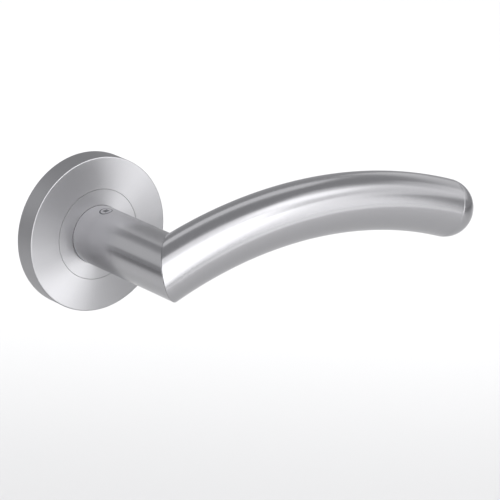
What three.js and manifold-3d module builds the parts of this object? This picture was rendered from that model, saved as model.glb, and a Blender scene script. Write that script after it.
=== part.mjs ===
// A door lever handle on a round push-on rose: a mitred tube lever whose grip is bent into a shallow arch,
// sprung back to level by a torsion spring inside the rose, and turning a square half spindle.
//
// Millimetres, +Z up. The origin is where the spindle's axis meets the door's face. The door lies on the +Y side,
// the handle stands out along -Y and the grip points along +X. A "depth" is a distance out from the door's face,
// so depth d lies at y = -d, and a negative depth is inside the door. An "angle" on the rose runs from +X towards
// +Z, which is anticlockwise for someone facing the door.

import * as THREE from "three";
import { mergeVertices } from "three/addons/utils/BufferGeometryUtils.js";
import Module from "manifold-3d";

const wasm = await Module();
wasm.setup();

// ---- Driving dimensions ----

// Rose cover, its insert ring and, behind the ring, the nylon liner that slides along the neck
const ROSE_DIAMETER = 53;
const ROSE_THICKNESS = 8;
const COVER_WALL = 1;
const COVER_EDGE = 0.5;
const RING_DIAMETER = 30.8;
const RING_GAP = 0.1;
const RING_NECK_GAP = 0.15;
const LINER_THICKNESS = 0.6;
const LINER_OVERLAP = 2.6;
const LINER_NECK_GAP = 0.1;

// Lever tube: neck, arched grip and domed end cap
const TUBE_DIAMETER = 20;
const TUBE_WALL = 1.5;
const GRIP_OFFSET = 51;
const ARCH_RADIUS = 163;
const RISE_DEGREES = 21.5;
const FALL_DEGREES = 19;
const WELD_GAP = 0.1;
const CAP_SPIGOT = 5;
const CAP_SPIGOT_WALL = 1.4;
const CAP_GAP = 0.25;

// Neck core: a turned plug inside the neck, with the square socket and the journal that runs in the rose
const SPINDLE_SIZE = 8;
const SPINDLE_REACH = 28;
const SPINDLE_CHAMFER = 0.8;
const SOCKET_DEPTH = 30;
const SOCKET_GAP = 0.1;
const CORE_END_WALL = 3;
const JOURNAL_WALL = 1.85;
const JOURNAL_TAIL = 0.7;
const FLAT_WALL = 2.2;
const FIT_GAP = 0.1;

// Set screw that clamps the spindle, from under the neck
const GRUB_DIAMETER = 6;
const GRUB_DEPTH = 20;
const GRUB_SINK = 0.2;
const GRUB_HEX = 3;
const GRUB_HEX_DEPTH = 3;

// Bearing, washer, driver and retaining ring on the journal
const BUSH_WALL = 1.2;
const BUSH_FLANGE = 0.7;
const BUSH_FLANGE_WIDTH = 2.6;
const RUN_GAP = 0.1;
const AXIAL_GAP = 0.05;
const WASHER_THICKNESS = 0.4;
const WASHER_WIDTH = 1.6;
const DRIVER_THICKNESS = 1.5;
const CLIP_THICKNESS = 1;
const CLIP_WIDTH = 2;
const CLIP_OPENING_ANGLE = 180;
const CLIP_OPENING_DEGREES = 56;
const CLIP_LUG_RADIUS = 1.5;
const CLIP_LUG_HOLE = 0.75;
const GROOVE_DEPTH = 0.6;

// Return spring
const WIRE = 1.3;
const COIL_DIAMETER = 25;
const COIL_SPACING = 0.12;
const COIL_REAR_GAP = 0.35;
const COIL_FRONT_GAP = 0.3;
const COIL_BEND = 1.1;
const LEG_ANGLE = 90;
const LEG_GAP = 0.25;

// Stop that limits the lever's travel
const TURN_DEGREES = 45;
const STOP_ANGLE = 22;
const STOP_DEGREES = 18;
const STOP_WIDTH = 1.7;
const STOP_PLAY_DEGREES = 1;

// Mounting plate
const WEB = 1.4;
const PLATE_GAP = 0.4;
const PLATE_CHAMFER = 0.6;
const PLATE_RIM = 1.7;
const POCKET_GAP = 1;
const POCKET_WALL = 1.7;
const RIB = 1.2;
const RIB_COUNT = 8;
const BOSS_WALL = 1.6;

// Threaded sleeves for bolts from the other side of the door
const FIXING_CENTRES = 38;
const SLEEVE_DIAMETER = 6.8;
const SLEEVE_REACH = 5;
const SLEEVE_HEAD_DIAMETER = 8;
const SLEEVE_HEAD = 0.9;
const SLEEVE_BORE = 3.3;

// Countersunk wood screws
const SCREW_DIAMETER = 3.5;
const SCREW_HEAD_DIAMETER = 7;
const SCREW_LENGTH = 20;
const SCREW_RIM = 0.3;
const SCREW_CORE = 2.3;
const SCREW_POINT = 4;
const SCREW_PLAIN = 5;
const SCREW_CROSS = 0.9;
const SCREW_CROSS_DEPTH = 1.3;
const SCREW_HOLE_ANGLES = [45, 135, 225, 315];
const SCREW_ANGLES = [45, 225];

// Nylon nubs that grip the cover
const NUB_DIAMETER = 2.6;
const NUB_LENGTH = 3;
const NUB_GAP = 0.08;
const NUB_ANGLES = [30, 150, 270];

// Facets round a full turn, and steps along the bent grip
const FINE = 64;
const ROUND = 40;
const COARSE = 16;
const GRIP_STEPS = 16;
const BORE_STEPS = 12;
const CAP_STEPS = 8;
const SPRING_STEPS_PER_TURN = 48;

// ---- Worked out from them ----

const roseRadius = ROSE_DIAMETER / 2;
const ringRadius = RING_DIAMETER / 2;
const tubeRadius = TUBE_DIAMETER / 2;
const boreRadius = tubeRadius - TUBE_WALL;
const spindleHalf = SPINDLE_SIZE / 2;
const socketHalf = spindleHalf + SOCKET_GAP;
const journalRadius = spindleHalf * Math.SQRT2 + JOURNAL_WALL;
const flatHalf = socketHalf + FLAT_WALL;
const ringBore = tubeRadius + RING_NECK_GAP;
const linerBore = tubeRadius + LINER_NECK_GAP;
const linerRadius = ringRadius + LINER_OVERLAP;

// Depths of the stack on the axis, from the rose's face back to the door
const coverBack = ROSE_THICKNESS - COVER_WALL;
const linerBack = coverBack - LINER_THICKNESS;
const shoulder = linerBack - RUN_GAP;
const bushFront = shoulder - RUN_GAP;
const webFront = bushFront - BUSH_FLANGE;
const webBack = webFront - WEB;
const washerFront = webBack - AXIAL_GAP;
const washerBack = washerFront - WASHER_THICKNESS;
const driverFront = washerBack - AXIAL_GAP;
const driverBack = driverFront - DRIVER_THICKNESS;
const clipFront = driverBack - AXIAL_GAP;
const clipBack = clipFront - CLIP_THICKNESS;
const journalEnd = clipBack - JOURNAL_TAIL;

// Return spring: as many quarter turns as its space holds
const coilRadius = COIL_DIAMETER / 2;
const wireRadius = WIRE / 2;
const coilRear = COIL_REAR_GAP + wireRadius;
const coilFront = webBack - COIL_FRONT_GAP - wireRadius;
const coilPitch = WIRE + COIL_SPACING;
const coilTurns = Math.floor((4 * (coilFront - coilRear)) / coilPitch) / 4;
const legInnerAngle = LEG_ANGLE - 360 * coilTurns;

// Mounting plate and what turns inside it
const driverRadius = coilRadius - wireRadius - 2 * LEG_GAP;
const notchFloor = driverRadius - STOP_WIDTH - LEG_GAP;
const pocketRadius = coilRadius + wireRadius + POCKET_GAP;
const pocketOuter = pocketRadius + POCKET_WALL;
const plateRadius = roseRadius - COVER_WALL - PLATE_GAP;
const cavityOuter = plateRadius - PLATE_RIM;
const screwCircle = (pocketOuter + cavityOuter) / 2;
const bushRadius = journalRadius + RUN_GAP + BUSH_WALL;
const nubMiddle = webBack / 2;

// ---- Materials ----

const satinSteel = new THREE.MeshStandardMaterial({ color: 0xb9b9bc, roughness: 0.3, metalness: 1 });
const plainSteel = new THREE.MeshStandardMaterial({ color: 0x9a9b9e, roughness: 0.4, metalness: 1 });
const zinc = new THREE.MeshStandardMaterial({ color: 0x8d9094, roughness: 0.55, metalness: 0.9 });
const springSteel = new THREE.MeshStandardMaterial({ color: 0x55565a, roughness: 0.35, metalness: 1 });
const platedSteel = new THREE.MeshStandardMaterial({ color: 0xc2bfae, roughness: 0.35, metalness: 1 });
const blackSteel = new THREE.MeshStandardMaterial({ color: 0x2b2b2d, roughness: 0.5, metalness: 0.8 });
const greyNylon = new THREE.MeshStandardMaterial({ color: 0x5c5d60, roughness: 0.6, metalness: 0 });
const whiteNylon = new THREE.MeshStandardMaterial({ color: 0xe4e2da, roughness: 0.55, metalness: 0 });

// ---- Helpers ----

const radians = THREE.MathUtils.degToRad;

// A closed geometry as a solid that can be joined and cut.
function solid(geometry) {
  const bare = geometry.clone();
  bare.deleteAttribute("normal");
  bare.deleteAttribute("uv");
  const merged = mergeVertices(bare);
  const vertProperties = merged.attributes.position.array;
  const triVerts = new Uint32Array(merged.index.array);
  return new wasm.Manifold(new wasm.Mesh({ numProp: 3, vertProperties, triVerts }));
}

// A solid or a closed geometry as a named mesh.
function part(name, shape, material) {
  if (shape.isBufferGeometry) {
    return named(name, new THREE.Mesh(shape, material));
  }
  const { vertProperties, triVerts } = shape.getMesh();
  const geometry = new THREE.BufferGeometry();
  geometry.setAttribute("position", new THREE.BufferAttribute(new Float32Array(vertProperties), 3));
  geometry.setIndex(new THREE.BufferAttribute(new Uint32Array(triVerts), 1));
  geometry.computeVertexNormals();
  return named(name, new THREE.Mesh(geometry, material));
}

function named(name, mesh) {
  mesh.name = name;
  return mesh;
}

// A body turned about the spindle's axis, from its outline as [radius, depth] pairs in either direction.
function turned(outline, segments) {
  const points = outline.map(([radius, depth]) => new THREE.Vector2(radius, -depth));
  const closesOnAxis = outline[0][0] === 0 && outline.at(-1)[0] === 0;
  if (!closesOnAxis) points.push(points[0].clone());
  if (THREE.ShapeUtils.area(points) < 0) points.reverse();
  return new THREE.LatheGeometry(points, segments);
}

// A plain ring between two radii and two depths.
function ring(inner, outer, back, front, segments) {
  return turned([[inner, back], [outer, back], [outer, front], [inner, front]], segments);
}

// A plain cylinder on the spindle's axis.
function rod(radius, back, front, segments) {
  return turned([[0, back], [radius, back], [radius, front], [0, front]], segments);
}

// A flat plate whose outline is drawn in X and Z, from one depth to another. Each arc of an outline gets twice
// its curveSegments, here and along the bent bars.
function plate(shape, back, front, segments) {
  const geometry = new THREE.ExtrudeGeometry(shape, {
    depth: front - back,
    bevelEnabled: false,
    curveSegments: segments / 2,
  });
  return geometry.rotateX(Math.PI / 2).translate(0, -back, 0);
}

// A box from its size across X and Z, and its two depths.
function block(width, height, back, front) {
  return new THREE.BoxGeometry(width, front - back, height).translate(0, -(back + front) / 2, 0);
}

// Where an angle on the rose and a radius lie in X and Z.
function polar(radius, degrees) {
  return { x: radius * Math.cos(radians(degrees)), z: radius * Math.sin(radians(degrees)) };
}

// A geometry drawn at the axis and moved to an angle and radius on the rose, or drawn along +X and turned there.
function movedTo(geometry, radius, degrees) {
  const { x, z } = polar(radius, degrees);
  return geometry.translate(x, 0, z);
}

function turnedTo(geometry, degrees) {
  return geometry.rotateY(-radians(degrees));
}

// A ring's share between two angles, as a flat shape.
function sector(inner, outer, from, to) {
  const shape = new THREE.Shape();
  shape.absarc(0, 0, outer, radians(from), radians(to), false);
  shape.absarc(0, 0, inner, radians(to), radians(from), true);
  shape.closePath();
  return shape;
}

// Everything on the far side of a plane, as a large box to cut with.
function halfSpace(point, normal) {
  const size = 4 * (ARCH_RADIUS + GRIP_OFFSET);
  const box = new THREE.BoxGeometry(size, size, size).translate(0, 0, size / 2);
  box.applyQuaternion(new THREE.Quaternion().setFromUnitVectors(new THREE.Vector3(0, 0, 1), normal));
  return solid(box.translate(point.x, point.y, point.z));
}

// ---- The arch ----

// The grip's centre line, a circular arc in a plane parallel to the door. The parameter runs from one slope to
// another, in degrees above level, and the arc passes through the mitre's corner at RISE_DEGREES.
class Arch extends THREE.Curve {
  constructor(fromSlope, toSlope) {
    super();
    this.fromSlope = radians(fromSlope);
    this.toSlope = radians(toSlope);
  }

  getPoint(t, target = new THREE.Vector3()) {
    const slope = THREE.MathUtils.lerp(this.fromSlope, this.toSlope, t);
    const rise = radians(RISE_DEGREES);
    const x = ARCH_RADIUS * (Math.sin(rise) - Math.sin(slope));
    const z = ARCH_RADIUS * (Math.cos(slope) - Math.cos(rise));
    return target.set(x, -GRIP_OFFSET, z);
  }
}

const corner = new THREE.Vector3(0, -GRIP_OFFSET, 0);
const neckDirection = new THREE.Vector3(0, -1, 0);
const gripDirection = new THREE.Vector3(Math.cos(radians(RISE_DEGREES)), 0, Math.sin(radians(RISE_DEGREES)));
const mitreNormal = neckDirection.clone().add(gripDirection).normalize();
const gripEnd = new Arch(0, -FALL_DEGREES).getPoint(1);
const endDirection = new THREE.Vector3(Math.cos(radians(FALL_DEGREES)), 0, -Math.sin(radians(FALL_DEGREES)));

// A round bar bent along the arch.
function bentBar(radius, fromSlope, toSlope, steps, segments) {
  const section = new THREE.Shape().absarc(0, 0, radius, 0, 2 * Math.PI, false);
  const extrudePath = new Arch(fromSlope, toSlope);
  return solid(new THREE.ExtrudeGeometry(section, { steps, extrudePath, curveSegments: segments / 2 }));
}

// ---- Lever ----

function gripTube() {
  const overrun = THREE.MathUtils.radToDeg((1.5 * tubeRadius) / ARCH_RADIUS);
  const outside = bentBar(tubeRadius, RISE_DEGREES + overrun, -FALL_DEGREES, GRIP_STEPS, ROUND);
  const inside = bentBar(boreRadius, RISE_DEGREES + 2 * overrun, -FALL_DEGREES - overrun, BORE_STEPS, ROUND);
  const cut = corner.clone().addScaledVector(mitreNormal, WELD_GAP / 2);
  const neckSide = halfSpace(cut, mitreNormal.clone().negate());
  return outside.subtract(inside).subtract(neckSide);
}

function neckTube() {
  const cut = corner.clone().addScaledVector(mitreNormal, -WELD_GAP / 2);
  const reach = GRIP_OFFSET + 1.5 * tubeRadius;
  const tube = solid(ring(boreRadius, tubeRadius, shoulder, reach, ROUND));
  return tube.subtract(halfSpace(cut, mitreNormal)).subtract(grubHole());
}

function endCap() {
  const spigotRadius = boreRadius - CAP_GAP;
  const innerRadius = spigotRadius - CAP_SPIGOT_WALL;
  const rimHeight = Math.sqrt(boreRadius ** 2 - innerRadius ** 2);
  const outer = arcPoints(tubeRadius, Math.PI / 2, 0, CAP_STEPS);
  const inner = arcPoints(boreRadius, Math.atan2(rimHeight, innerRadius), Math.PI / 2, 4);
  const spigot = [
    [spigotRadius, 0],
    [spigotRadius, CAP_SPIGOT],
    [innerRadius, CAP_SPIGOT],
  ];
  return turned([...outer, ...spigot, ...inner], ROUND);
}

// Points of a circular arc about the cap's centre, as [radius, depth], with the dome towards negative depth.
function arcPoints(radius, from, to, steps) {
  return Array.from({ length: steps + 1 }, (_, i) => {
    const angle = THREE.MathUtils.lerp(from, to, i / steps);
    const isOnAxis = angle === Math.PI / 2;
    return [isOnAxis ? 0 : radius * Math.cos(angle), -radius * Math.sin(angle)];
  });
}

function grubHole() {
  const radius = GRUB_DIAMETER / 2 + FIT_GAP;
  const hole = new THREE.CylinderGeometry(radius, radius, 2 * tubeRadius, COARSE).rotateX(Math.PI / 2);
  return solid(hole.translate(0, -GRUB_DEPTH, -tubeRadius));
}

function neckCore() {
  const coreRadius = boreRadius - FIT_GAP;
  const grooveRadius = journalRadius - GROOVE_DEPTH;
  const coreEnd = SOCKET_DEPTH + CORE_END_WALL;
  const body = solid(
    turned(
      [
        [0, journalEnd],
        [journalRadius, journalEnd],
        [journalRadius, clipBack - AXIAL_GAP],
        [grooveRadius, clipBack - AXIAL_GAP],
        [grooveRadius, clipFront + AXIAL_GAP / 2],
        [journalRadius, clipFront + AXIAL_GAP / 2],
        [journalRadius, shoulder],
        [coreRadius, shoulder],
        [coreRadius, coreEnd],
        [0, coreEnd],
      ],
      ROUND,
    ),
  );
  const socket = solid(block(2 * socketHalf, 2 * socketHalf, journalEnd - 1, SOCKET_DEPTH));
  const flats = [-1, 1].map((side) => {
    const width = journalRadius;
    const cut = block(width, 3 * journalRadius, journalEnd - 1, driverFront);
    return solid(cut.translate(side * (flatHalf + width / 2), 0, 0));
  });
  return flats.reduce((shape, flat) => shape.subtract(flat), body.subtract(socket).subtract(grubHole()));
}

// A square bar with chamfered ends: a four-sided turned body, stood on its flats by the caller.
function spindleBar() {
  const radius = spindleHalf * Math.SQRT2;
  const front = SOCKET_DEPTH - SPINDLE_CHAMFER;
  const outline = [
    [0, -SPINDLE_REACH],
    [radius - SPINDLE_CHAMFER, -SPINDLE_REACH],
    [radius, SPINDLE_CHAMFER - SPINDLE_REACH],
    [radius, front - SPINDLE_CHAMFER],
    [radius - SPINDLE_CHAMFER, front],
    [0, front],
  ];
  return turned(outline, 4);
}

// The set screw stands on +Y with its hexagon socket at depth 0.
function grubScrew() {
  const length = tubeRadius - GRUB_SINK - spindleHalf - AXIAL_GAP;
  const hexRadius = GRUB_HEX / 2 / Math.cos(Math.PI / 6);
  const radius = GRUB_DIAMETER / 2;
  const chamfer = 0.5;
  const body = turned(
    [
      [0, 0],
      [radius - chamfer, 0],
      [radius, -chamfer],
      [radius, chamfer - length],
      [radius - chamfer, -length],
      [0, -length],
    ],
    COARSE,
  );
  const socket = rod(hexRadius, -GRUB_HEX_DEPTH, 1, 6);
  return solid(body).subtract(solid(socket));
}

function driverPlate() {
  const keyRadius = journalRadius + FIT_GAP;
  const keyHalf = flatHalf + FIT_GAP;
  const keyAngle = THREE.MathUtils.radToDeg(Math.acos(keyHalf / keyRadius));
  const disc = new THREE.Shape().absarc(0, 0, driverRadius, 0, 2 * Math.PI, false);
  const key = new THREE.Path();
  key.absarc(0, 0, keyRadius, radians(keyAngle), radians(180 - keyAngle), false);
  key.absarc(0, 0, keyRadius, radians(180 + keyAngle), radians(360 - keyAngle), false);
  key.closePath();
  disc.holes.push(key);
  const notchFrom = STOP_ANGLE - STOP_DEGREES / 2 - STOP_PLAY_DEGREES;
  const notchTo = STOP_ANGLE + STOP_DEGREES / 2 + STOP_PLAY_DEGREES + TURN_DEGREES;
  const notch = sector(notchFloor, driverRadius + 1, notchFrom, notchTo);
  const slotLength = 2 * STOP_WIDTH;
  const slot = block(slotLength, WIRE + 2 * LEG_GAP, driverBack - 1, driverFront + 1);
  slot.translate(notchFloor + slotLength / 2, 0, 0);
  return solid(plate(disc, driverBack, driverFront, ROUND))
    .subtract(solid(plate(notch, driverBack - 1, driverFront + 1, COARSE)))
    .subtract(solid(turnedTo(slot, legInnerAngle)));
}

function retainingRing() {
  const inner = journalRadius - GROOVE_DEPTH + AXIAL_GAP;
  const outer = inner + CLIP_WIDTH;
  const from = CLIP_OPENING_ANGLE + CLIP_OPENING_DEGREES / 2;
  const to = from + 360 - CLIP_OPENING_DEGREES;
  const lugRadius = inner + CLIP_LUG_RADIUS;
  const band = solid(plate(sector(inner, outer, from, to), clipBack, clipFront, ROUND));
  return [from, to].reduce((shape, angle) => {
    const lug = movedTo(rod(CLIP_LUG_RADIUS, clipBack, clipFront, COARSE), lugRadius, angle);
    const hole = movedTo(rod(CLIP_LUG_HOLE, clipBack - 1, clipFront + 1, COARSE), lugRadius, angle);
    return shape.add(solid(lug)).subtract(solid(hole));
  }, band);
}

// ---- Return spring ----

// The wire's centre line: an outer leg in the plate's slot, the coil, and an inner leg in the driver's slot.
// From the outer leg the coil runs clockwise and forwards, so pressing the lever down winds it tighter.
function springPath() {
  const bend = THREE.MathUtils.radToDeg(COIL_BEND / coilRadius);
  const legOuter = pocketOuter - LEG_GAP;
  const legInner = notchFloor + LEG_GAP;
  const at = (radius, degrees, depth) => {
    const { x, z } = polar(radius, degrees);
    return new THREE.Vector3(x, -depth, z);
  };
  const sweep = 360 * coilTurns - 2 * bend;
  const steps = Math.round(sweep / 12);
  const coil = Array.from({ length: steps + 1 }, (_, i) => {
    const degrees = LEG_ANGLE - bend - (sweep * i) / steps;
    return at(coilRadius, degrees, THREE.MathUtils.lerp(coilRear, coilFront, i / steps));
  });
  return new THREE.CatmullRomCurve3([
    at(legOuter, LEG_ANGLE, coilRear),
    at(coilRadius + COIL_BEND, LEG_ANGLE, coilRear),
    ...coil,
    at(coilRadius - COIL_BEND, legInnerAngle, coilFront),
    at(legInner, legInnerAngle, coilFront),
  ]);
}

function returnSpring() {
  const section = new THREE.Shape().absarc(0, 0, wireRadius, 0, 2 * Math.PI, false);
  const steps = Math.round(SPRING_STEPS_PER_TURN * (coilTurns + 0.2));
  return new THREE.ExtrudeGeometry(section, { steps, extrudePath: springPath(), curveSegments: 4 });
}

// ---- Rose ----

function coverRose() {
  const rimInner = roseRadius - COVER_WALL;
  const holeRadius = ringRadius + RING_GAP;
  return turned(
    [
      [rimInner, 0],
      [roseRadius, 0],
      [roseRadius, ROSE_THICKNESS - COVER_EDGE],
      [roseRadius - COVER_EDGE * 0.3, ROSE_THICKNESS - COVER_EDGE * 0.3],
      [roseRadius - COVER_EDGE, ROSE_THICKNESS],
      [holeRadius, ROSE_THICKNESS],
      [holeRadius, coverBack],
      [rimInner - COVER_EDGE, coverBack],
      [rimInner, coverBack - COVER_EDGE],
    ],
    FINE,
  );
}

function bearingBush() {
  const bore = journalRadius + RUN_GAP;
  return turned(
    [
      [bore, webBack],
      [bushRadius, webBack],
      [bushRadius, webFront],
      [bushRadius + BUSH_FLANGE_WIDTH, webFront],
      [bushRadius + BUSH_FLANGE_WIDTH, bushFront],
      [bore, bushFront],
    ],
    ROUND,
  );
}

// The hollow behind the plate's web, left full at the bosses, the ribs and the nubs.
function plateCavity() {
  const behind = -1;
  const sleeveBoss = SLEEVE_DIAMETER / 2 + FIT_GAP + BOSS_WALL;
  const screwBoss = SCREW_DIAMETER / 2 + FIT_GAP + BOSS_WALL;
  const nubBlock = cavityOuter - pocketOuter;
  const kept = [
    ...[0, 180].map((angle) => movedTo(rod(sleeveBoss, behind, webBack, COARSE), FIXING_CENTRES / 2, angle)),
    ...SCREW_HOLE_ANGLES.map((angle) => movedTo(rod(screwBoss, behind, webBack, COARSE), screwCircle, angle)),
    ...NUB_ANGLES.map((angle) => {
      const wall = block(nubBlock, NUB_DIAMETER + 2 * RIB, behind, webBack);
      return turnedTo(wall.translate(cavityOuter, 0, 0), angle);
    }),
    ...Array.from({ length: RIB_COUNT }, (_, i) => {
      const rib = block(plateRadius - pocketRadius, RIB, behind, webBack);
      return turnedTo(rib.translate((plateRadius + pocketRadius) / 2, 0, 0), ((i + 0.5) * 360) / RIB_COUNT);
    }),
  ];
  const hollow = solid(ring(pocketOuter, cavityOuter, behind, webBack, FINE));
  return kept.reduce((shape, piece) => shape.subtract(solid(piece)), hollow);
}

// A countersunk hole with its head's seat at the web's front.
function screwHole() {
  const hole = SCREW_DIAMETER / 2 + FIT_GAP;
  const head = SCREW_HEAD_DIAMETER / 2 + FIT_GAP;
  return turned(
    [
      [0, -1],
      [hole, -1],
      [hole, webFront - SCREW_RIM - head + hole],
      [head, webFront - SCREW_RIM],
      [head, webFront + 1],
      [0, webFront + 1],
    ],
    COARSE,
  );
}

// A stepped hole for a threaded sleeve and its head.
function sleeveHole() {
  const hole = SLEEVE_DIAMETER / 2 + FIT_GAP;
  const head = SLEEVE_HEAD_DIAMETER / 2 + FIT_GAP;
  return turned(
    [
      [0, -1],
      [hole, -1],
      [hole, webFront - SLEEVE_HEAD - FIT_GAP],
      [head, webFront - SLEEVE_HEAD - FIT_GAP],
      [head, webFront + 1],
      [0, webFront + 1],
    ],
    COARSE,
  );
}

function nubHole() {
  const radius = NUB_DIAMETER / 2 + FIT_GAP;
  const floor = roseRadius - COVER_WALL - NUB_GAP - NUB_LENGTH - FIT_GAP;
  const hole = new THREE.CylinderGeometry(radius, radius, roseRadius, COARSE).rotateZ(Math.PI / 2);
  return hole.translate(floor + roseRadius / 2, -nubMiddle, 0);
}

function mountingPlate() {
  const disc = solid(
    turned(
      [
        [bushRadius + FIT_GAP, 0],
        [plateRadius, 0],
        [plateRadius, webFront - PLATE_CHAMFER],
        [plateRadius - PLATE_CHAMFER, webFront],
        [bushRadius + FIT_GAP, webFront],
      ],
      FINE,
    ),
  );
  const stopFrom = STOP_ANGLE - STOP_DEGREES / 2;
  const stop = plate(
    sector(notchFloor + LEG_GAP, driverRadius, stopFrom, stopFrom + STOP_DEGREES),
    driverBack,
    webBack + WEB / 2,
    COARSE,
  );
  const slotBack = coilRear + wireRadius + LEG_GAP;
  const slot = block(2 * POCKET_WALL + LEG_GAP, WIRE + 2 * LEG_GAP, -1, slotBack);
  slot.translate(pocketRadius + POCKET_WALL, 0, 0);
  const cuts = [
    solid(rod(pocketRadius, -1, webBack, FINE)),
    plateCavity(),
    solid(turnedTo(slot, LEG_ANGLE)),
    ...[0, 180].map((angle) => solid(movedTo(sleeveHole(), FIXING_CENTRES / 2, angle))),
    ...SCREW_HOLE_ANGLES.map((angle) => solid(movedTo(screwHole(), screwCircle, angle))),
    ...NUB_ANGLES.map((angle) => solid(turnedTo(nubHole(), angle))),
  ];
  return cuts.reduce((shape, cut) => shape.subtract(cut), disc).add(solid(stop));
}

function fixingSleeve() {
  const head = SLEEVE_HEAD_DIAMETER / 2;
  const shank = SLEEVE_DIAMETER / 2;
  const bore = SLEEVE_BORE / 2;
  const chamfer = 0.4;
  return turned(
    [
      [bore, -SLEEVE_REACH],
      [shank - chamfer, -SLEEVE_REACH],
      [shank, chamfer - SLEEVE_REACH],
      [shank, webFront - SLEEVE_HEAD],
      [head, webFront - SLEEVE_HEAD],
      [head, webFront],
      [bore, webFront],
    ],
    COARSE,
  );
}

// A countersunk wood screw with a cross recess, its head flush with the web's front.
function woodScrew() {
  const head = SCREW_HEAD_DIAMETER / 2;
  const shank = SCREW_DIAMETER / 2;
  const core = SCREW_CORE / 2;
  const neck = webFront - SCREW_RIM - head + shank;
  const tip = webFront - SCREW_LENGTH;
  const body = solid(
    turned(
      [
        [0, webFront],
        [head, webFront],
        [head, webFront - SCREW_RIM],
        [shank, neck],
        [shank, neck - SCREW_PLAIN],
        [core, neck - SCREW_PLAIN - shank + core],
        [core, tip + SCREW_POINT],
        [0, tip],
      ],
      COARSE,
    ),
  );
  return [0, 90].reduce((shape, angle) => {
    const arm = block(head, SCREW_CROSS, webFront - SCREW_CROSS_DEPTH, webFront + 1);
    return shape.subtract(solid(turnedTo(arm, angle)));
  }, body);
}

// A nub stands on +X: a pin with a rounded tip that presses on the cover's rim.
function snapNub() {
  const radius = NUB_DIAMETER / 2;
  const tip = roseRadius - COVER_WALL - NUB_GAP;
  const crown = radius / 3;
  const outline = [
    [0, NUB_LENGTH],
    [radius, NUB_LENGTH],
    [radius, crown],
    [0.7 * radius, crown / 4],
    [0, 0],
  ];
  return turned(outline, 12).rotateZ(-Math.PI / 2).translate(tip, -nubMiddle, 0);
}

// ---- Assembly ----

function leverGroup() {
  const group = new THREE.Group();

  const cap = part("end_cap", endCap(), satinSteel);
  cap.position.copy(gripEnd).addScaledVector(endDirection, WELD_GAP);
  cap.quaternion.setFromUnitVectors(new THREE.Vector3(0, 1, 0), endDirection);

  const spindle = part("spindle", spindleBar(), platedSteel);
  spindle.rotation.y = Math.PI / 4;

  const grub = part("grub_screw", grubScrew(), blackSteel);
  grub.position.set(0, -GRUB_DEPTH, GRUB_SINK - tubeRadius);
  grub.rotation.x = Math.PI / 2;

  group.add(part("grip_tube", gripTube(), satinSteel));
  group.add(part("neck_tube", neckTube(), satinSteel));
  group.add(part("neck_core", neckCore(), plainSteel));
  group.add(part("driver_plate", driverPlate(), plainSteel));
  group.add(part("retaining_ring", retainingRing(), blackSteel));
  group.add(cap, spindle, grub);
  return group;
}

function coverGroup() {
  const group = new THREE.Group();
  group.add(part("cover_rose", coverRose(), satinSteel));
  group.add(part("insert_ring", ring(ringBore, ringRadius, coverBack, ROSE_THICKNESS, FINE), satinSteel));
  group.add(part("neck_liner", ring(linerBore, linerRadius, linerBack, coverBack, ROUND), greyNylon));
  return group;
}

function plateGroup() {
  const group = new THREE.Group();
  const washerBore = journalRadius + RUN_GAP;
  const washer = ring(washerBore, washerBore + WASHER_WIDTH, washerBack, washerFront, ROUND);
  group.add(part("mounting_plate", mountingPlate(), zinc));
  group.add(part("bearing_bush", bearingBush(), whiteNylon));
  group.add(part("thrust_washer", washer, whiteNylon));
  group.add(part("return_spring", returnSpring(), springSteel));

  [0, 180].forEach((angle, i) => {
    const sleeve = part(`fixing_sleeve_${i + 1}`, fixingSleeve(), platedSteel);
    const { x, z } = polar(FIXING_CENTRES / 2, angle);
    sleeve.position.set(x, 0, z);
    group.add(sleeve);
  });

  SCREW_ANGLES.forEach((angle, i) => {
    const screw = part(`wood_screw_${i + 1}`, woodScrew(), platedSteel);
    const { x, z } = polar(screwCircle, angle);
    screw.position.set(x, 0, z);
    group.add(screw);
  });

  NUB_ANGLES.forEach((angle, i) => {
    const nub = part(`snap_nub_${i + 1}`, snapNub(), whiteNylon);
    nub.rotation.y = -radians(angle);
    group.add(nub);
  });
  return group;
}

const handle = new THREE.Group();
handle.add(plateGroup(), coverGroup(), leverGroup());

export default handle;
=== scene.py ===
"""Looks for the door lever handle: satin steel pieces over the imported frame, a small studio and a camera.

Metres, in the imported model's frame: the door's face is y = 0 and the handle stands out along -Y. Outlines
are written in millimetres as (radius, depth), where a depth is a distance out from the door's face.
"""

from math import atan2, cos, degrees, pi, radians, sin, sqrt, tan

import bmesh
import bpy
from mathutils import Matrix, Vector


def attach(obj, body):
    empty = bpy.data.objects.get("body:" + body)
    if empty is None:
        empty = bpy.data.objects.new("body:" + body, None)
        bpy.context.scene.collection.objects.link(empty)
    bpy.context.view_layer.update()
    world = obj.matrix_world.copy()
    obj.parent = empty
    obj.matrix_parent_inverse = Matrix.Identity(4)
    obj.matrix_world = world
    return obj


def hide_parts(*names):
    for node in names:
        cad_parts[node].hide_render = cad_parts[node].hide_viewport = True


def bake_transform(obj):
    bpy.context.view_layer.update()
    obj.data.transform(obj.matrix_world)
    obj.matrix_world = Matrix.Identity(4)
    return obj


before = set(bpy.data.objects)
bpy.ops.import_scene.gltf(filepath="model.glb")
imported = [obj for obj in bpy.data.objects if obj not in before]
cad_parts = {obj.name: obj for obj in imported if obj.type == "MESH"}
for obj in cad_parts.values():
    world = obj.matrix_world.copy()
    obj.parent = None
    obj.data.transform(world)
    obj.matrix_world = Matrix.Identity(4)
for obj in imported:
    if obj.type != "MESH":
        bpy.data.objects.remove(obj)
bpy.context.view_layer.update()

MM = 0.001

# ---- Sizes shared with the CAD, in millimetres ----

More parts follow.
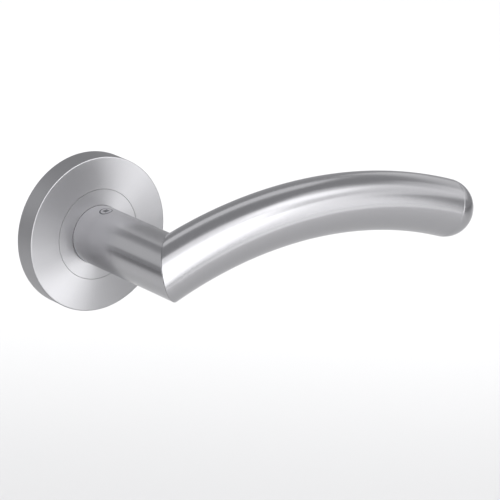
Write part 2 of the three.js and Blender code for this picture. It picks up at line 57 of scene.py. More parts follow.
ROSE_RADIUS = 26.5
ROSE_THICKNESS = 8.0
COVER_WALL = 1.0
RING_RADIUS = 15.4
RING_GAP = 0.1
LINER_BORE = 10.1
LINER_RADIUS = 18.0
LINER_THICKNESS = 0.6

TUBE_RADIUS = 10.0
TUBE_WALL = 1.5
NECK_BACK = 6.3
GRIP_OFFSET = 51.0
ARCH_RADIUS = 163.0
RISE = radians(21.5)
FALL = radians(19.0)
WELD_GAP = 0.1
FIT_GAP = 0.1
AXIAL_GAP = 0.05
CAP_SPIGOT = 5.0
CAP_SPIGOT_WALL = 1.4
CAP_GAP = 0.25

SPINDLE_HALF = 4.0
SPINDLE_CHAMFER = 0.8
SPINDLE_FRONT = 29.2
SPINDLE_REACH = 28.0
GRUB_DEPTH = 20.0
GRUB_RADIUS = 3.0
GRUB_SINK = 0.2
GRUB_HEX = 3.0
GRUB_HEX_DEPTH = 3.0

WEB_FRONT = 5.5
FIXING_RADIUS = 19.0
SLEEVE_RADIUS = 3.4
SLEEVE_HEAD_RADIUS = 4.0
SLEEVE_HEAD = 0.9
SLEEVE_REACH = 5.0
POCKET_OUTER = 15.85
CAVITY_OUTER = 23.4
SCREW_CIRCLE = (POCKET_OUTER + CAVITY_OUTER) / 2
SCREW_ANGLES = (45, 225)
SCREW_LENGTH = 20.0
SCREW_RADIUS = 1.75
SCREW_CORE_RADIUS = 1.15
SCREW_HEAD_RADIUS = 3.5
SCREW_RIM = 0.3
SCREW_PLAIN = 5.0
SCREW_POINT = 4.0

SPRING_WIRE = 1.3
SPRING_RADIUS = 12.5
COIL_BEND = 1.1
SPRING_REAR = 1.0
SPRING_FRONT = 3.15
SPRING_TURNS = 1.5
SPRING_LEG = radians(90)
SPRING_LEG_OUT = 15.6
SPRING_LEG_IN = 9.66

# ---- Sizes of the fine surfaces alone, in millimetres ----

AROUND = 144
TUBE_BORE = TUBE_RADIUS - TUBE_WALL
RING_BORE = TUBE_RADIUS + 0.05
SEAM = 0.08
SEAM_LIP = 0.05
CAP_LIP = 0.02
CAP_LIP_ANGLE = 0.004
SPINDLE_TAPER = 0.6
SCREW_FADE = 1.0
WOOD_PITCH = 1.6
M4_PITCH = 0.7
M6_PITCH = 1.0
THREAD_STEEPNESS = 1.25

# The rounded edge of a mitre: how far in and how far short each ring is.
MITRE_LIP = [(0.0, 0.16), (0.05, 0.06), (0.16, 0.02)]

# The sign on the neck: its middle along the neck and in turns round it, its circle, its line and its square.
SIGN_ALONG = 8.5
SIGN_TURN = 0.268
SIGN_RADIUS = 2.3
SIGN_LINE = 0.25
SIGN_SQUARE = 1.0


# ---- Shapes ----

def at(radius, angle, depth):
    """The point at a radius and angle about the spindle's axis, at a depth, all in millimetres."""
    return Vector((radius * cos(angle), -depth, radius * sin(angle))) * MM


def eased(outline, closed=True, steps=3):
    """Rounds each corner of an outline by its own amount, the third number of (radius, depth, ease)."""
    points = []
    count = len(outline)
    for i, (radius, depth, *ease) in enumerate(outline):
        corner = Vector((radius, depth))
        is_end = not closed and i in (0, count - 1)
        if not ease or is_end:
            points.append(corner)
            continue
        before = Vector(outline[i - 1][:2]) - corner
        after = Vector(outline[(i + 1) % count][:2]) - corner
        reach = min(ease[0], 0.45 * before.length, 0.45 * after.length)
        start = corner + before.normalized() * reach
        end = corner + after.normalized() * reach
        for k in range(steps + 1):
            t = k / steps
            points.append((1 - t) ** 2 * start + 2 * t * (1 - t) * corner + t * t * end)
    return points


def arc(radius, start, end, steps):
    """Outline points of an arc about the origin, from one angle above the radius direction to another."""
    angles = [start + (end - start) * k / steps for k in range(steps + 1)]
    return [(radius * max(cos(a), 0.0), -radius * sin(a)) for a in angles]


def loft(name, rings, closed):
    """A mesh through rings of points. Its UV map "brush" is in millimetres ring to ring, then in turns."""
    mesh = bpy.data.meshes.new(name)
    work = bmesh.new()
    brush = work.loops.layers.uv.new("brush")
    grid = [[work.verts.new(point) for point in ring] for ring in rings]
    around = len(rings[0])
    along = [0.0]
    for one, two in zip(rings, rings[1:] + rings[:1]):
        step = sum((b - a).length for a, b in zip(one, two)) / around
        along.append(along[-1] + step / MM)
    for i in range(len(rings) if closed else len(rings) - 1):
        for j in range(around):
            corners = ((i, j), (i + 1, j), (i + 1, j + 1), (i, j + 1))
            face = work.faces.new([grid[a % len(rings)][b % around] for a, b in corners])
            face.smooth = True
            for loop, (a, b) in zip(face.loops, corners):
                loop[brush].uv = (along[a], b / around)
    bmesh.ops.remove_doubles(work, verts=work.verts, dist=1e-7)
    flat = [face for face in work.faces if face.calc_area() < 1e-14]
    bmesh.ops.delete(work, geom=flat, context="FACES")
    bmesh.ops.recalc_face_normals(work, faces=work.faces)
    work.to_mesh(mesh)
    work.free()
    piece = bpy.data.objects.new(name, mesh)
    bpy.context.scene.collection.objects.link(piece)
    return piece


def turned(name, outline, closed=True, around=AROUND):
    """A body turned about the spindle's axis."""
    rings = [[at(radius, 2 * pi * j / around, depth) for j in range(around)] for radius, depth in outline]
    return loft(name, rings, closed)


def threaded(name, radius_at, depths, around=32):
    """A body turned about the spindle's axis whose radius changes round it, such as a screw's."""
    turns = [j / around for j in range(around)]
    rings = [[at(radius_at(depth, turn), 2 * pi * turn, depth) for turn in turns] for depth in depths]
    return loft(name, rings, closed=False)


def thread(depth, turn, pitch):
    """The height of a thread's ridge there, from 0 in the groove to 1 at the crest."""
    phase = (depth / pitch - turn) % 1.0
    return max(0.0, 1 - abs(2 * phase - 1) * THREAD_STEEPNESS)


def close_ends(piece):
    """Closes the open ends of a body."""
    work = bmesh.new()
    work.from_mesh(piece.data)
    bmesh.ops.holes_fill(work, edges=work.edges, sides=0)
    bmesh.ops.recalc_face_normals(work, faces=work.faces)
    work.to_mesh(piece.data)
    work.free()


def place(piece, matrix):
    """Moves a piece's points."""
    piece.data.transform(matrix)
    return piece


def cut(piece, cutter):
    """Cuts one piece from another for good."""
    cutting = piece.modifiers.new("cut", "BOOLEAN")
    cutting.object = cutter
    cutting.solver = "EXACT"
    bpy.context.view_layer.update()
    graph = bpy.context.evaluated_depsgraph_get()
    mesh = bpy.data.meshes.new_from_object(piece.evaluated_get(graph))
    piece.modifiers.clear()
    piece.data = mesh
    bpy.data.objects.remove(cutter)
    return piece


def keep(piece, body, nodes, material, sharp=35):
    """Gives a finished piece its material, its shading and its body, and hides the CAD nodes that it stands
    for.
    """
    piece.data.materials.clear()
    piece.data.materials.append(material)
    piece.data.polygons.foreach_set("use_smooth", [True] * len(piece.data.polygons))
    piece.data.set_sharp_from_angle(angle=radians(sharp))
    shading = piece.modifiers.new("flat faces stay flat", "WEIGHTED_NORMAL")
    shading.keep_sharp = True
    if body is not None:
        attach(piece, body)
    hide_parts(*nodes)
    return piece


# ---- Materials ----

class Nodes:
    """A small helper that adds nodes to a material and links them."""

    def __init__(self, name):
        self.material = bpy.data.materials.new(name)
        self.material.use_nodes = True
        self.tree = self.material.node_tree
        self.shader = self.tree.nodes["Principled BSDF"]

    def add(self, kind, settings=(), **inputs):
        """A new node, with its settings and its inputs by name."""
        node = self.tree.nodes.new(kind)
        for key, value in dict(settings).items():
            setattr(node, key, value)
        for key, value in inputs.items():
            self.feed(node, key.replace("_", " "), value)
        return node

    def feed(self, node, socket, value):
        """Links another node's output to a socket, or sets the socket's own value."""
        target = node.inputs[int(socket)] if socket.isdigit() else node.inputs[socket]
        if isinstance(value, bpy.types.NodeSocket):
            self.tree.links.new(value, target)
        else:
            target.default_value = value

    def math(self, operation, a, b=0.0):
        """One operation on two numbers, such as their sum."""
        node = self.add("ShaderNodeMath", {"operation": operation})
        self.feed(node, "0", a)
        self.feed(node, "1", b)
        return node.outputs[0]

    def noise(self, vector, scale, detail=4.0, roughness=0.55):
        """A mottle from 0 to 1."""
        node = self.add("ShaderNodeTexNoise", Vector=vector, Scale=scale, Detail=detail, Roughness=roughness)
        return node.outputs[0]

    def ramp(self, value, low, high):
        """Takes 0 to low and 1 to high."""
        node = self.add("ShaderNodeMapRange", Value=value, To_Min=low, To_Max=high)
        return node.outputs[0]

    def tint(self, value, dark, light):
        """Mixes two colours, each a plain one or the output of another node."""
        node = self.add("ShaderNodeMix", {"data_type": "RGBA"})
        self.feed(node, "0", value)
        for socket, colour in (("6", dark), ("7", light)):
            self.feed(node, socket, colour if isinstance(colour, bpy.types.NodeSocket) else (*colour, 1))
        return node.outputs[2]

    def bump(self, height, strength, distance):
        """Relief from a height, for the shader's normal."""
        node = self.add("ShaderNodeBump", Height=height, Strength=strength, Distance=distance)
        return node.outputs[0]

    def set(self, **inputs):
        """Sets or links the shader's inputs."""
        for key, value in inputs.items():
            self.feed(self.shader, key.replace("_", " "), value)


def brushed(name, shade, roughness, stretch, turn, across, around):
    """Satin steel with fine scratches, which change across times a millimetre from ring to ring, and around
    times a radian round them. stretch is how far they draw highlights out, and turn is the direction."""
    n = Nodes(name)
    brush = n.add("ShaderNodeUVMap", {"uv_map": "brush"}).outputs[0]
    split = n.add("ShaderNodeSeparateXYZ", Vector=brush)
    turns = n.math("MULTIPLY", split.outputs[1], 2 * pi)
    lines = n.add(
        "ShaderNodeCombineXYZ",
        X=n.math("MULTIPLY", split.outputs[0], across),
        Y=n.math("MULTIPLY", n.math("COSINE", turns), around),
        Z=n.math("MULTIPLY", n.math("SINE", turns), around),
    )
    fine = n.noise(lines.outputs[0], 1.0, 6.0, 0.65)
    body = n.add("ShaderNodeTexCoord").outputs["Object"]
    smudge = n.noise(body, 55.0, 3.0)
    tangent = n.add("ShaderNodeTangent", {"direction_type": "UV_MAP", "uv_map": "brush"})
    rough = n.math("ADD", n.ramp(fine, -0.05, 0.05), n.ramp(smudge, roughness - 0.02, roughness + 0.02))
    contrast = 0.06
    light = tuple(c * (1 + contrast) for c in shade)
    dark = tuple(c * (1 - contrast) for c in shade)
    n.set(
        Base_Color=n.tint(fine, dark, light),
        Metallic=1.0,
        Roughness=rough,
        Anisotropic=stretch,
        Anisotropic_Rotation=turn,
        Tangent=tangent.outputs[0],
        Normal=n.bump(fine, 0.12, 0.00002),
    )
    return n


TUBE_STEEL = (0.343, 0.342, 0.352)
# Painted light: the cover's front and its ring take this lighter copy of the tube's steel.
FRONT_STEEL_PAINTED_LIGHT = (0.44, 0.439, 0.452)
# Painted shade: the cover's round side takes this darker copy of the tube's steel.
SIDE_STEEL_PAINTED_SHADE = (0.32, 0.319, 0.329)


def tube_finish(name):
    """The tubes' finish, with its nodes."""
    return brushed(name, TUBE_STEEL, 0.21, 0.5, 0.0, 4.0, 2.0)


# The same steel made lighter for the cover's front and ring: painted light.
def satin_front_painted_light():
    return brushed("satin_front_painted_light", FRONT_STEEL_PAINTED_LIGHT, 0.46, 1.0, 0.25, 0.1, 120.0).material


# The same steel made darker for the cover's round side: painted shade.
def satin_side_painted_shade():
    return brushed("satin_side_painted_shade", SIDE_STEEL_PAINTED_SHADE, 0.36, 0.9, 0.25, 0.4, 160.0).material


def etched_neck():
    """The tube's steel with a small laser-marked sign: a circle round a square, for the square spindle."""
    n = tube_finish("satin_neck")
    brush = n.add("ShaderNodeUVMap", {"uv_map": "brush"}).outputs[0]
    split = n.add("ShaderNodeSeparateXYZ", Vector=brush)
    x = n.math("SUBTRACT", split.outputs[0], SIGN_ALONG)
    y = n.math("MULTIPLY", n.math("SUBTRACT", split.outputs[1], SIGN_TURN), 2 * pi * TUBE_RADIUS)
    far = n.math("POWER", n.math("ADD", n.math("MULTIPLY", x, x), n.math("MULTIPLY", y, y)), 0.5)
    off_circle = n.math("ABSOLUTE", n.math("SUBTRACT", far, SIGN_RADIUS))
    circle = n.math("LESS_THAN", off_circle, SIGN_LINE)
    side = n.math("MAXIMUM", n.math("ABSOLUTE", x), n.math("ABSOLUTE", y))
    mark = n.math("MAXIMUM", circle, n.math("LESS_THAN", side, SIGN_SQUARE))
    plain = n.shader.inputs["Base Color"].links[0].from_socket
    n.set(Base_Color=n.tint(mark, plain, (0.05, 0.05, 0.06)))
    return n.material


def metal(name, dark, light, low, high, scale, depth):
    """Plain metal with a fine mottle in its colour, gloss and relief, worn brighter along its edges."""
    n = Nodes(name)
    body = n.add("ShaderNodeTexCoord").outputs["Object"]
    coarse = n.noise(body, scale, 5.0)
    fine = n.noise(body, scale * 6, 3.0)
    bend = n.add("ShaderNodeNewGeometry").outputs["Pointiness"]
    edge = n.add("ShaderNodeMapRange", Value=bend, From_Min=0.51, From_Max=0.58).outputs[0]
    worn = n.math("MULTIPLY", edge, coarse)
    bright = tuple(min(1.0, 1.3 * c) for c in light)
    n.set(
        Base_Color=n.tint(worn, n.tint(coarse, dark, light), bright),
        Metallic=1.0,
        Roughness=n.math("SUBTRACT", n.ramp(fine, low, high), n.ramp(worn, 0.0, 0.12)),
        Normal=n.bump(fine, 0.3, depth),
    )
    return n.material


def nylon(name, dark, light):
    """Moulded nylon: a faint sheen over a fine spark-eroded texture."""
    n = Nodes(name)
    body = n.add("ShaderNodeTexCoord").outputs["Object"]
    fine = n.noise(body, 3500.0, 3.0)
    coarse = n.noise(body, 120.0, 2.0)
    n.set(
        Base_Color=n.tint(coarse, dark, light),
        Roughness=n.ramp(fine, 0.4, 0.65),
        Normal=n.bump(fine, 0.25, 0.00004),
        Subsurface_Weight=0.05,
    )
    return n.material


# ---- Lever ----

def grip_direction(slope):
    """The direction of the grip where it has that slope."""
    return Vector((cos(slope), 0, sin(slope)))


def grip_point(radius, angle, slope):
    """A point on the grip: the angle runs round the tube from its upper side towards the user."""
    outward = Vector((-sin(slope), 0, cos(slope)))
    centre = ARCH_RADIUS * Vector((sin(RISE) - sin(slope), 0, cos(slope) - cos(RISE)))
    centre.y = -GRIP_OFFSET
    return centre + radius * (cos(angle) * outward + sin(angle) * Vector((0, -1, 0)))


def mitre_slope(radius, angle):
    """Where the line at that angle along the grip meets the mitre's plane."""
    normal = grip_direction(RISE) + Vector((0, -1, 0))
    corner = Vector((0, -GRIP_OFFSET, 0))
    low, high = RISE - 0.2, RISE + 0.2
    for _ in range(30):
        middle = (low + high) / 2
        if (grip_point(radius, angle, middle) - corner).dot(normal) > 0:
            low = middle
        else:
            high = middle
    return low


def grip_tube(material):
    """The arched tube, from its mitre to the seam at the cap, and back along its bore."""
    steps = 90
    bore_steps = 15
    rings = []

    def ring(radius, share, lift=0.0, drop=0.0):
        points = []
        for j in range(AROUND):
            angle = 2 * pi * j / AROUND
            start = mitre_slope(radius, angle) - lift / ARCH_RADIUS
            slope = start + (-FALL - start) * share + drop / ARCH_RADIUS
            points.append(grip_point(radius, angle, slope) * MM)
        rings.append(points)

    for sink, lift in reversed(MITRE_LIP):
        ring(TUBE_RADIUS - sink, 0.0, lift=lift)
    for k in range(1, steps):
        ring(TUBE_RADIUS, k / steps)
    ring(TUBE_RADIUS, 1.0, drop=SEAM_LIP - SEAM)
    ring(TUBE_RADIUS - CAP_LIP, 1.0, drop=-SEAM)
    ring(TUBE_BORE, 1.0)
    for k in reversed(range(bore_steps)):
        ring(TUBE_BORE, k / bore_steps)
    return keep(loft("grip", rings, closed=True), "lever", ["grip_tube"], material)


def neck_tube(material):
    """The straight tube, from the rose to its mitre and back along its bore, with the set screw's hole."""
    steps = 24

    def mitre(radius, angle):
        return GRIP_OFFSET - radius * cos(angle - RISE)

    def ring(radius, share, short=0.0):
        points = []
        for j in range(AROUND):
            angle = 2 * pi * j / AROUND
            depth = NECK_BACK + (mitre(radius, angle) - short - NECK_BACK) * share
            points.append(at(radius, angle, depth))
        return points

    rings = [ring(TUBE_RADIUS, k / steps) for k in range(steps)]
    rings += [ring(TUBE_RADIUS - sink, 1.0, short) for sink, short in MITRE_LIP]
    rings += [ring(TUBE_BORE, 1.0), ring(TUBE_BORE, 0.0)]
    neck = loft("neck", rings, closed=True)
    wide = GRUB_RADIUS + FIT_GAP
    inside = 0.6 * TUBE_RADIUS
    outside = 1.4 * TUBE_RADIUS
    outline = [(0, inside), (wide, inside), (wide, outside), (0, outside)]
    hole = turned("hole", outline, closed=False, around=48)
    place(hole, Matrix.Translation((0, -GRUB_DEPTH * MM, 0)) @ Matrix.Rotation(pi / 2, 4, "X"))
    return keep(cut(neck, hole), "lever", ["neck_tube"], material)


def end_cap(material):
    """A dome with a hollow spigot that goes into the grip."""
    spigot = TUBE_BORE - CAP_GAP
    inner = spigot - CAP_SPIGOT_WALL
    rim = sqrt(TUBE_BORE ** 2 - inner ** 2)
    outline = arc(TUBE_RADIUS, pi / 2, CAP_LIP_ANGLE, 40) + [(TUBE_RADIUS - CAP_LIP, 0)]
    outline += [(spigot, 0), (spigot, CAP_SPIGOT), (inner, CAP_SPIGOT)]
    outline += arc(TUBE_BORE, atan2(rim, inner), pi / 2, 10)
    cap = turned("cap", outline, closed=False)
    end = grip_point(0, 0, -FALL) + WELD_GAP * grip_direction(-FALL)
    turn = Vector((0, 1, 0)).rotation_difference(grip_direction(-FALL)).to_matrix().to_4x4()
    place(cap, Matrix.Translation(end * MM) @ turn)
    return keep(cap, "lever", ["end_cap"], material)


def spindle(material):
    """A square bar with rounded edges and chamfered ends."""
    corner = 0.5
    middle = 1.02 * corner
    tip = SPINDLE_HALF - SPINDLE_TAPER

    def ring(half, depth):
        points = []
        for quarter in range(4):
            for k in range(5):
                turn = quarter * pi / 2 + k * pi / 8
                diagonal = quarter * pi / 2 + pi / 4
                x = (half - corner) * sqrt(2) * cos(diagonal) + corner * cos(turn)
                z = (half - corner) * sqrt(2) * sin(diagonal) + corner * sin(turn)
                points.append(Vector((x, -depth, z)) * MM)
        return points

    outline = [
        (middle, -SPINDLE_REACH),
        (tip, -SPINDLE_REACH),
        (SPINDLE_HALF, SPINDLE_CHAMFER - SPINDLE_REACH),
        (SPINDLE_HALF, SPINDLE_FRONT - SPINDLE_CHAMFER),
        (tip, SPINDLE_FRONT),
        (middle, SPINDLE_FRONT),
    ]
    bar = loft("spindle_bar", [ring(half, depth) for half, depth in outline], closed=False)
    close_ends(bar)
    return keep(bar, "lever", ["spindle"], material)


def grub_screw(material):
    """An M6 set screw with a hexagon socket, standing under the neck with its socket down."""
    length = TUBE_RADIUS - GRUB_SINK - SPINDLE_HALF - AXIAL_GAP
    steps = 60
    chamfer = 0.5
    ridge = 0.45

    def radius_at(depth, turn):
        crest = GRUB_RADIUS - max(0.0, chamfer + depth, chamfer - length - depth)
        groove = GRUB_RADIUS - ridge
        return min(crest, groove + ridge * thread(depth, turn, M6_PITCH))

    depths = [-length * k / steps for k in range(steps + 1)]
    screw = threaded("set_screw", radius_at, depths, around=40)
    close_ends(screw)
    across = GRUB_HEX / 2 / cos(pi / 6)
    tip = 1.2 * GRUB_HEX_DEPTH
    hexagon = [(0, 1), (across, 1), (across, -GRUB_HEX_DEPTH), (0, -tip)]
    cut(screw, turned("socket", hexagon, closed=False, around=6))
    foot = Vector((0, -GRUB_DEPTH, GRUB_SINK - TUBE_RADIUS)) * MM
    place(screw, Matrix.Translation(foot) @ Matrix.Rotation(pi / 2, 4, "X"))
    return keep(screw, "lever", ["grub_screw"], material)


# ---- Cover ----

def cover_rose(material, side_material_painted_shade):
    """A shallow cup with a hole for the ring. Its front takes a lighter copy of the steel, painted light,
    and its round side a darker copy, painted shade.
    """
    rim = ROSE_RADIUS - COVER_WALL
    hole = RING_RADIUS + RING_GAP
    outline = [
        (rim, 0, 0.1),
        (ROSE_RADIUS, 0, 0.15),
        (ROSE_RADIUS, ROSE_THICKNESS, 0.4),
        (hole, ROSE_THICKNESS, 0.03),
        (hole, ROSE_THICKNESS - COVER_WALL, 0.1),
        (rim, ROSE_THICKNESS - COVER_WALL, 0.5),
    ]
    cover = turned("rose_cover", eased(outline), around=256)
    keep(cover, "cover", ["cover_rose"], material, sharp=60)
    # Painted shade: the side faces take the darker copy of the steel.
    cover.data.materials.append(side_material_painted_shade)
    for face in cover.data.polygons:
        face.material_index = int(abs(face.normal.y) < 0.5)
    return cover


def insert_ring(material):
    """The flat ring in the cover's hole, with a hairline gap round the neck."""
    back = ROSE_THICKNESS - COVER_WALL
    outline = [
        (RING_BORE, back, 0.05),
        (RING_RADIUS, back, 0.05),
        (RING_RADIUS, ROSE_THICKNESS, 0.03),
        (RING_BORE, ROSE_THICKNESS, 0.05),
    ]
    ring = turned("rose_insert", eased(outline), around=192)
    return keep(ring, "cover", ["insert_ring"], material, sharp=60)


def neck_liner(material):
    """The washer behind the ring, which guides the cover on the neck."""
    front = ROSE_THICKNESS - COVER_WALL
    back = front - LINER_THICKNESS
    outline = [(LINER_BORE, back), (LINER_RADIUS, back), (LINER_RADIUS, front), (LINER_BORE, front)]
    rounded = eased([(radius, depth, 0.1) for radius, depth in outline])
    return keep(turned("liner", rounded), "cover", ["neck_liner"], material)


# ---- Rose base ----

def fixing_sleeve(number, side, material):
    """A headed sleeve with an M4 thread inside."""
    steps = 120
    around = 48
    mouth = 1.9
    groove = 1.95
    ridge = 0.3
    shoulder = WEB_FRONT - SLEEVE_HEAD
    outside = eased([
        (mouth, -SLEEVE_REACH),
        (SLEEVE_RADIUS, -SLEEVE_REACH, 0.5),
        (SLEEVE_RADIUS, shoulder, 0.1),
        (SLEEVE_HEAD_RADIUS, shoulder, 0.15),
        (SLEEVE_HEAD_RADIUS, WEB_FRONT, 0.25),
        (mouth, WEB_FRONT),
    ], closed=False)
    turns = [j / around for j in range(around)]
    rings = [[at(radius, 2 * pi * turn, depth) for turn in turns] for radius, depth in outside]
    for k in range(1, steps):
        depth = WEB_FRONT - (WEB_FRONT + SLEEVE_REACH) * k / steps
        radii = [groove - ridge * thread(depth, turn, M4_PITCH) for turn in turns]
        rings.append([at(radius, 2 * pi * turn, depth) for radius, turn in zip(radii, turns)])
    sleeve = loft(f"sleeve_{number}", rings, closed=True)
    place(sleeve, Matrix.Translation((side * FIXING_RADIUS * MM, 0, 0)))
    return keep(sleeve, "rose_base", [f"fixing_sleeve_{number}"], material)


def wood_screw(number, angle, material):
    """A countersunk screw: head, plain shank and a coarse thread that tapers to a point."""
    neck = WEB_FRONT - SCREW_RIM - SCREW_HEAD_RADIUS + SCREW_RADIUS
    thread_start = neck - SCREW_PLAIN + SCREW_FADE
    tip = WEB_FRONT - SCREW_LENGTH
    steps = 150

    def radius_at(depth, turn):
        if depth > thread_start:
            return max(SCREW_RADIUS, min(SCREW_HEAD_RADIUS, depth - neck + SCREW_RADIUS))
        taper = min(1.0, max(0.02, (depth - tip) / SCREW_POINT))
        fade = min(1.0, (thread_start - depth) / SCREW_FADE)
        ridge = 1 - fade + fade * thread(depth, turn, WOOD_PITCH)
        return taper * (SCREW_CORE_RADIUS + (SCREW_RADIUS - SCREW_CORE_RADIUS) * ridge)

    depths = [WEB_FRONT - SCREW_LENGTH * k / steps for k in range(steps + 1)]
    screw = threaded(f"screw_{number}", radius_at, depths)
    close_ends(screw)
    cross_radius = 2.4
    cross_tip = 0.5
    cross_depth = 1.9
    thinness = 0.28
    wedge = [(0, 1), (cross_radius, 1), (cross_tip, -cross_depth), (0, -cross_depth)]
    for turn in (0, pi / 2):
        blade = turned("blade", wedge, closed=False, around=4)
        place(blade, Matrix.Rotation(pi / 4, 4, "Y"))
        place(blade, Matrix.Diagonal((1, 1, thinness, 1)))
        place(blade, Matrix.Translation((0, -WEB_FRONT * MM, 0)) @ Matrix.Rotation(turn, 4, "Y"))
        cut(screw, blade)
    place(screw, Matrix.Translation(at(SCREW_CIRCLE, radians(angle), 0)))
    return keep(screw, "rose_base", [f"wood_screw_{number}"], material)


def return_spring(material):
    """Round wire: a leg in the plate's slot, one and a half turns, and a leg in the driver's slot."""
    bend = COIL_BEND / SPRING_RADIUS
    sweep = 2 * pi * SPRING_TURNS
    last = SPRING_LEG - sweep
    steps = 60
    path = [
        at(SPRING_LEG_OUT, SPRING_LEG, SPRING_REAR),
        at(SPRING_RADIUS + COIL_BEND, SPRING_LEG, SPRING_REAR),
    ]
    for k in range(steps + 1):
        share = k / steps
        angle = SPRING_LEG - bend - (sweep - 2 * bend) * share
        path.append(at(SPRING_RADIUS, angle, SPRING_REAR + (SPRING_FRONT - SPRING_REAR) * share))
    path.append(at(SPRING_RADIUS - COIL_BEND, last, SPRING_FRONT))
    path.append(at(SPRING_LEG_IN, last, SPRING_FRONT))

    curve = bpy.data.curves.new("spring_path", "CURVE")
    curve.dimensions = "3D"
    curve.resolution_u = 4
    curve.bevel_depth = SPRING_WIRE / 2 * MM
    curve.bevel_resolution = 4
    curve.use_fill_caps = True
    line = curve.splines.new("NURBS")
    line.points.add(len(path) - 1)
    for point, place_at in zip(line.points, path):
        point.co = (*place_at, 1)
    line.order_u = 3
    line.use_endpoint_u = True
    wire = bpy.data.objects.new("spring_wire", curve)
    bpy.context.scene.collection.objects.link(wire)
    bpy.context.view_layer.update()
    graph = bpy.context.evaluated_depsgraph_get()
    mesh = bpy.data.meshes.new_from_object(wire.evaluated_get(graph))
    bpy.data.objects.remove(wire)
    spring = bpy.data.objects.new("spring", mesh)
    bpy.context.scene.collection.objects.link(spring)
    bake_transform(spring)
    return keep(spring, None, ["return_spring"], material)


def finish_cad(names, material):
    """Carries CAD nodes over with a material and slightly broken edges."""
    for name in names:
        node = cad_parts[name]
        node.data.materials.clear()
        node.data.materials.append(material)
        edge = node.modifiers.new("broken edges", "BEVEL")
        edge.width = 0.08 * MM
        edge.segments = 2
        edge.limit_method = "ANGLE"
        edge.angle_limit = radians(40)


# ---- Studio ----

CENTRE = Vector((0.06, -0.03, 0.0))
FLOOR = -0.45
FLOOR_LIGHT_HEIGHT = 0.33
CAMERA_AZIMUTH = radians(-36.5)
CAMERA_HEIGHT = radians(17.36)
CAMERA_ROLL = radians(1.37)
CAMERA_DISTANCE = 1.1832
CAMERA_LEFT = 0.010987
CAMERA_DOWN = 0.009146
CAMERA_LENS = 252.86


def bearing(azimuth, height):
    """The direction at an azimuth, 0 in front of the door and 90 to its right, and a height above level."""
    azimuth, height = radians(azimuth), radians(height)
    return Vector((sin(azimuth) * cos(height), -cos(azimuth) * cos(height), sin(height)))


def softbox(name, azimuth, height, wide, tall, brightness, distance=1.6):
    """A soft light that fills wide by tall degrees as seen from the handle."""
    light = bpy.data.lights.new(name, "AREA")
    light.shape = "RECTANGLE"
    light.size = 2 * distance * tan(radians(wide) / 2)
    light.size_y = 2 * distance * tan(radians(tall) / 2)
    light.energy = brightness * pi * light.size * light.size_y
    lamp = bpy.data.objects.new(name, light)
    lamp.location = CENTRE + distance * bearing(azimuth, height)
    lamp.rotation_euler = bearing(azimuth, height).to_track_quat("Z", "Y").to_euler()
    lamp.visible_camera = False
    bpy.context.scene.collection.objects.link(lamp)


def floor_light(name, azimuth, distance, wide, deep, brightness):
    """A soft light just over the floor, facing down, so that the handle only sees it as a brighter floor."""
    light = bpy.data.lights.new(name, "AREA")
    light.shape = "RECTANGLE"
    light.size = wide
    light.size_y = deep
    light.energy = brightness * pi * wide * deep
    lamp = bpy.data.objects.new(name, light)
    lamp.location = distance * bearing(azimuth, 0) + Vector((0, 0, FLOOR + FLOOR_LIGHT_HEIGHT))
    lamp.rotation_euler.z = CAMERA_AZIMUTH
    lamp.visible_camera = False
    bpy.context.scene.collection.objects.link(lamp)


def studio():
    """An even grey surround, soft lights round the handle and two more just over the floor."""
    world = bpy.data.worlds.new("studio")
    world.use_nodes = True
    world.node_tree.nodes["Background"].inputs["Color"].default_value = (0.525, 0.525, 0.54, 1)
    bpy.context.scene.world = world
    softbox("key", -15, 23, 80, 78, 2.7)
    softbox("key_core", -22, 27, 55, 45, 0.8)
    softbox("key_top", -11, 70, 88, 17, 1.5)
    softbox("fill", 35, 10, 18, 47, 1.7)
    softbox("side", 58, 41, 24, 42, 0.9)
    softbox("upper_right", 35, 49, 22, 26, 0.3)
    softbox("right_window", 82, 33, 21, 18, 0.58)
    softbox("right_band", 102, 23, 61, 18, 0.6)
    softbox("back_high", 157, 52, 46, 19, 0.85)
    softbox("left_back", -148, 20, 35, 24, 0.52)
    floor_light("floor_back", 143, 2.25, 2.8, 2.3, 0.95)
    floor_light("floor_left", -117, 1.34, 1.6, 2.2, 0.7)
    bpy.context.scene.view_settings.view_transform = "Standard"


def floor():
    """A plain pale disc, larger than the view."""
    angles = [2 * pi * j / 64 for j in range(64)]
    rings = [[Vector((r * cos(a), r * sin(a), FLOOR)) for a in angles] for r in (0, 1, 3, 9)]
    ground = loft("floor", rings, closed=False)
    n = Nodes("pale_floor")
    body = n.add("ShaderNodeTexCoord").outputs["Object"]
    shade = n.tint(n.noise(body, 3.0), (0.62, 0.62, 0.62), (0.64, 0.64, 0.64))
    n.set(Base_Color=shade, Roughness=1.0, Specular_IOR_Level=0.0)
    ground.data.materials.append(n.material)


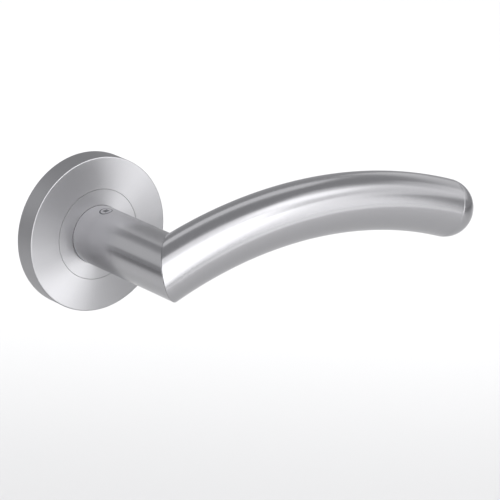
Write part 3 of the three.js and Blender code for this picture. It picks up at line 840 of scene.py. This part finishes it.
def camera():
    """A long lens in front, to the left and above, rolled slightly."""
    away = bearing(degrees(CAMERA_AZIMUTH), degrees(CAMERA_HEIGHT))
    level = Vector((cos(CAMERA_AZIMUTH), sin(CAMERA_AZIMUTH), 0))
    upright = away.cross(level)
    right = cos(CAMERA_ROLL) * level + sin(CAMERA_ROLL) * upright
    up = cos(CAMERA_ROLL) * upright - sin(CAMERA_ROLL) * level
    where = CENTRE + away * CAMERA_DISTANCE - right * CAMERA_LEFT - up * CAMERA_DOWN
    data = bpy.data.cameras.new("camera")
    data.lens = CAMERA_LENS
    data.clip_end = 50
    eye = bpy.data.objects.new("camera", data)
    eye.matrix_world = Matrix((
        (right.x, up.x, away.x, where.x),
        (right.y, up.y, away.y, where.y),
        (right.z, up.z, away.z, where.z),
        (0, 0, 0, 1),
    ))
    bpy.context.scene.collection.objects.link(eye)
    bpy.context.scene.camera = eye


# ---- The scene ----

tube_steel = tube_finish("satin_tube").material
front_steel_painted_light = satin_front_painted_light()
side_steel_painted_shade = satin_side_painted_shade()
plain_steel = metal("plain_steel", (0.34, 0.34, 0.35), (0.42, 0.42, 0.43), 0.3, 0.5, 400.0, 0.00003)
zinc = metal("cast_zinc", (0.26, 0.27, 0.29), (0.36, 0.37, 0.39), 0.45, 0.7, 900.0, 0.00008)
plated = metal("plated_steel", (0.5, 0.5, 0.46), (0.6, 0.59, 0.52), 0.22, 0.38, 500.0, 0.00001)
dark_wire = metal("spring_wire", (0.1, 0.1, 0.105), (0.17, 0.17, 0.175), 0.3, 0.42, 700.0, 0.00001)
black = metal("black_oxide", (0.03, 0.03, 0.033), (0.06, 0.06, 0.062), 0.35, 0.55, 800.0, 0.00002)
grey_nylon = nylon("grey_nylon", (0.16, 0.16, 0.165), (0.2, 0.2, 0.205))
white_nylon = nylon("white_nylon", (0.68, 0.66, 0.6), (0.76, 0.74, 0.68))

grip_tube(tube_steel)
neck_tube(etched_neck())
end_cap(tube_steel)
spindle(plated)
grub_screw(black)
# The cover's front and ring are painted lighter than the tubes, and its round side is painted darker.
cover_rose(front_steel_painted_light, side_steel_painted_shade)
insert_ring(front_steel_painted_light)
neck_liner(grey_nylon)
for number, side in ((1, 1), (2, -1)):
    fixing_sleeve(number, side, plated)
for number, angle in enumerate(SCREW_ANGLES, 1):
    wood_screw(number, angle, plated)
return_spring(dark_wire)
finish_cad(["mounting_plate"], zinc)
finish_cad(["neck_core", "driver_plate"], plain_steel)
finish_cad(["retaining_ring"], black)
finish_cad(["bearing_bush", "thrust_washer", "snap_nub_1", "snap_nub_2", "snap_nub_3"], white_nylon)

studio()
floor()
camera()
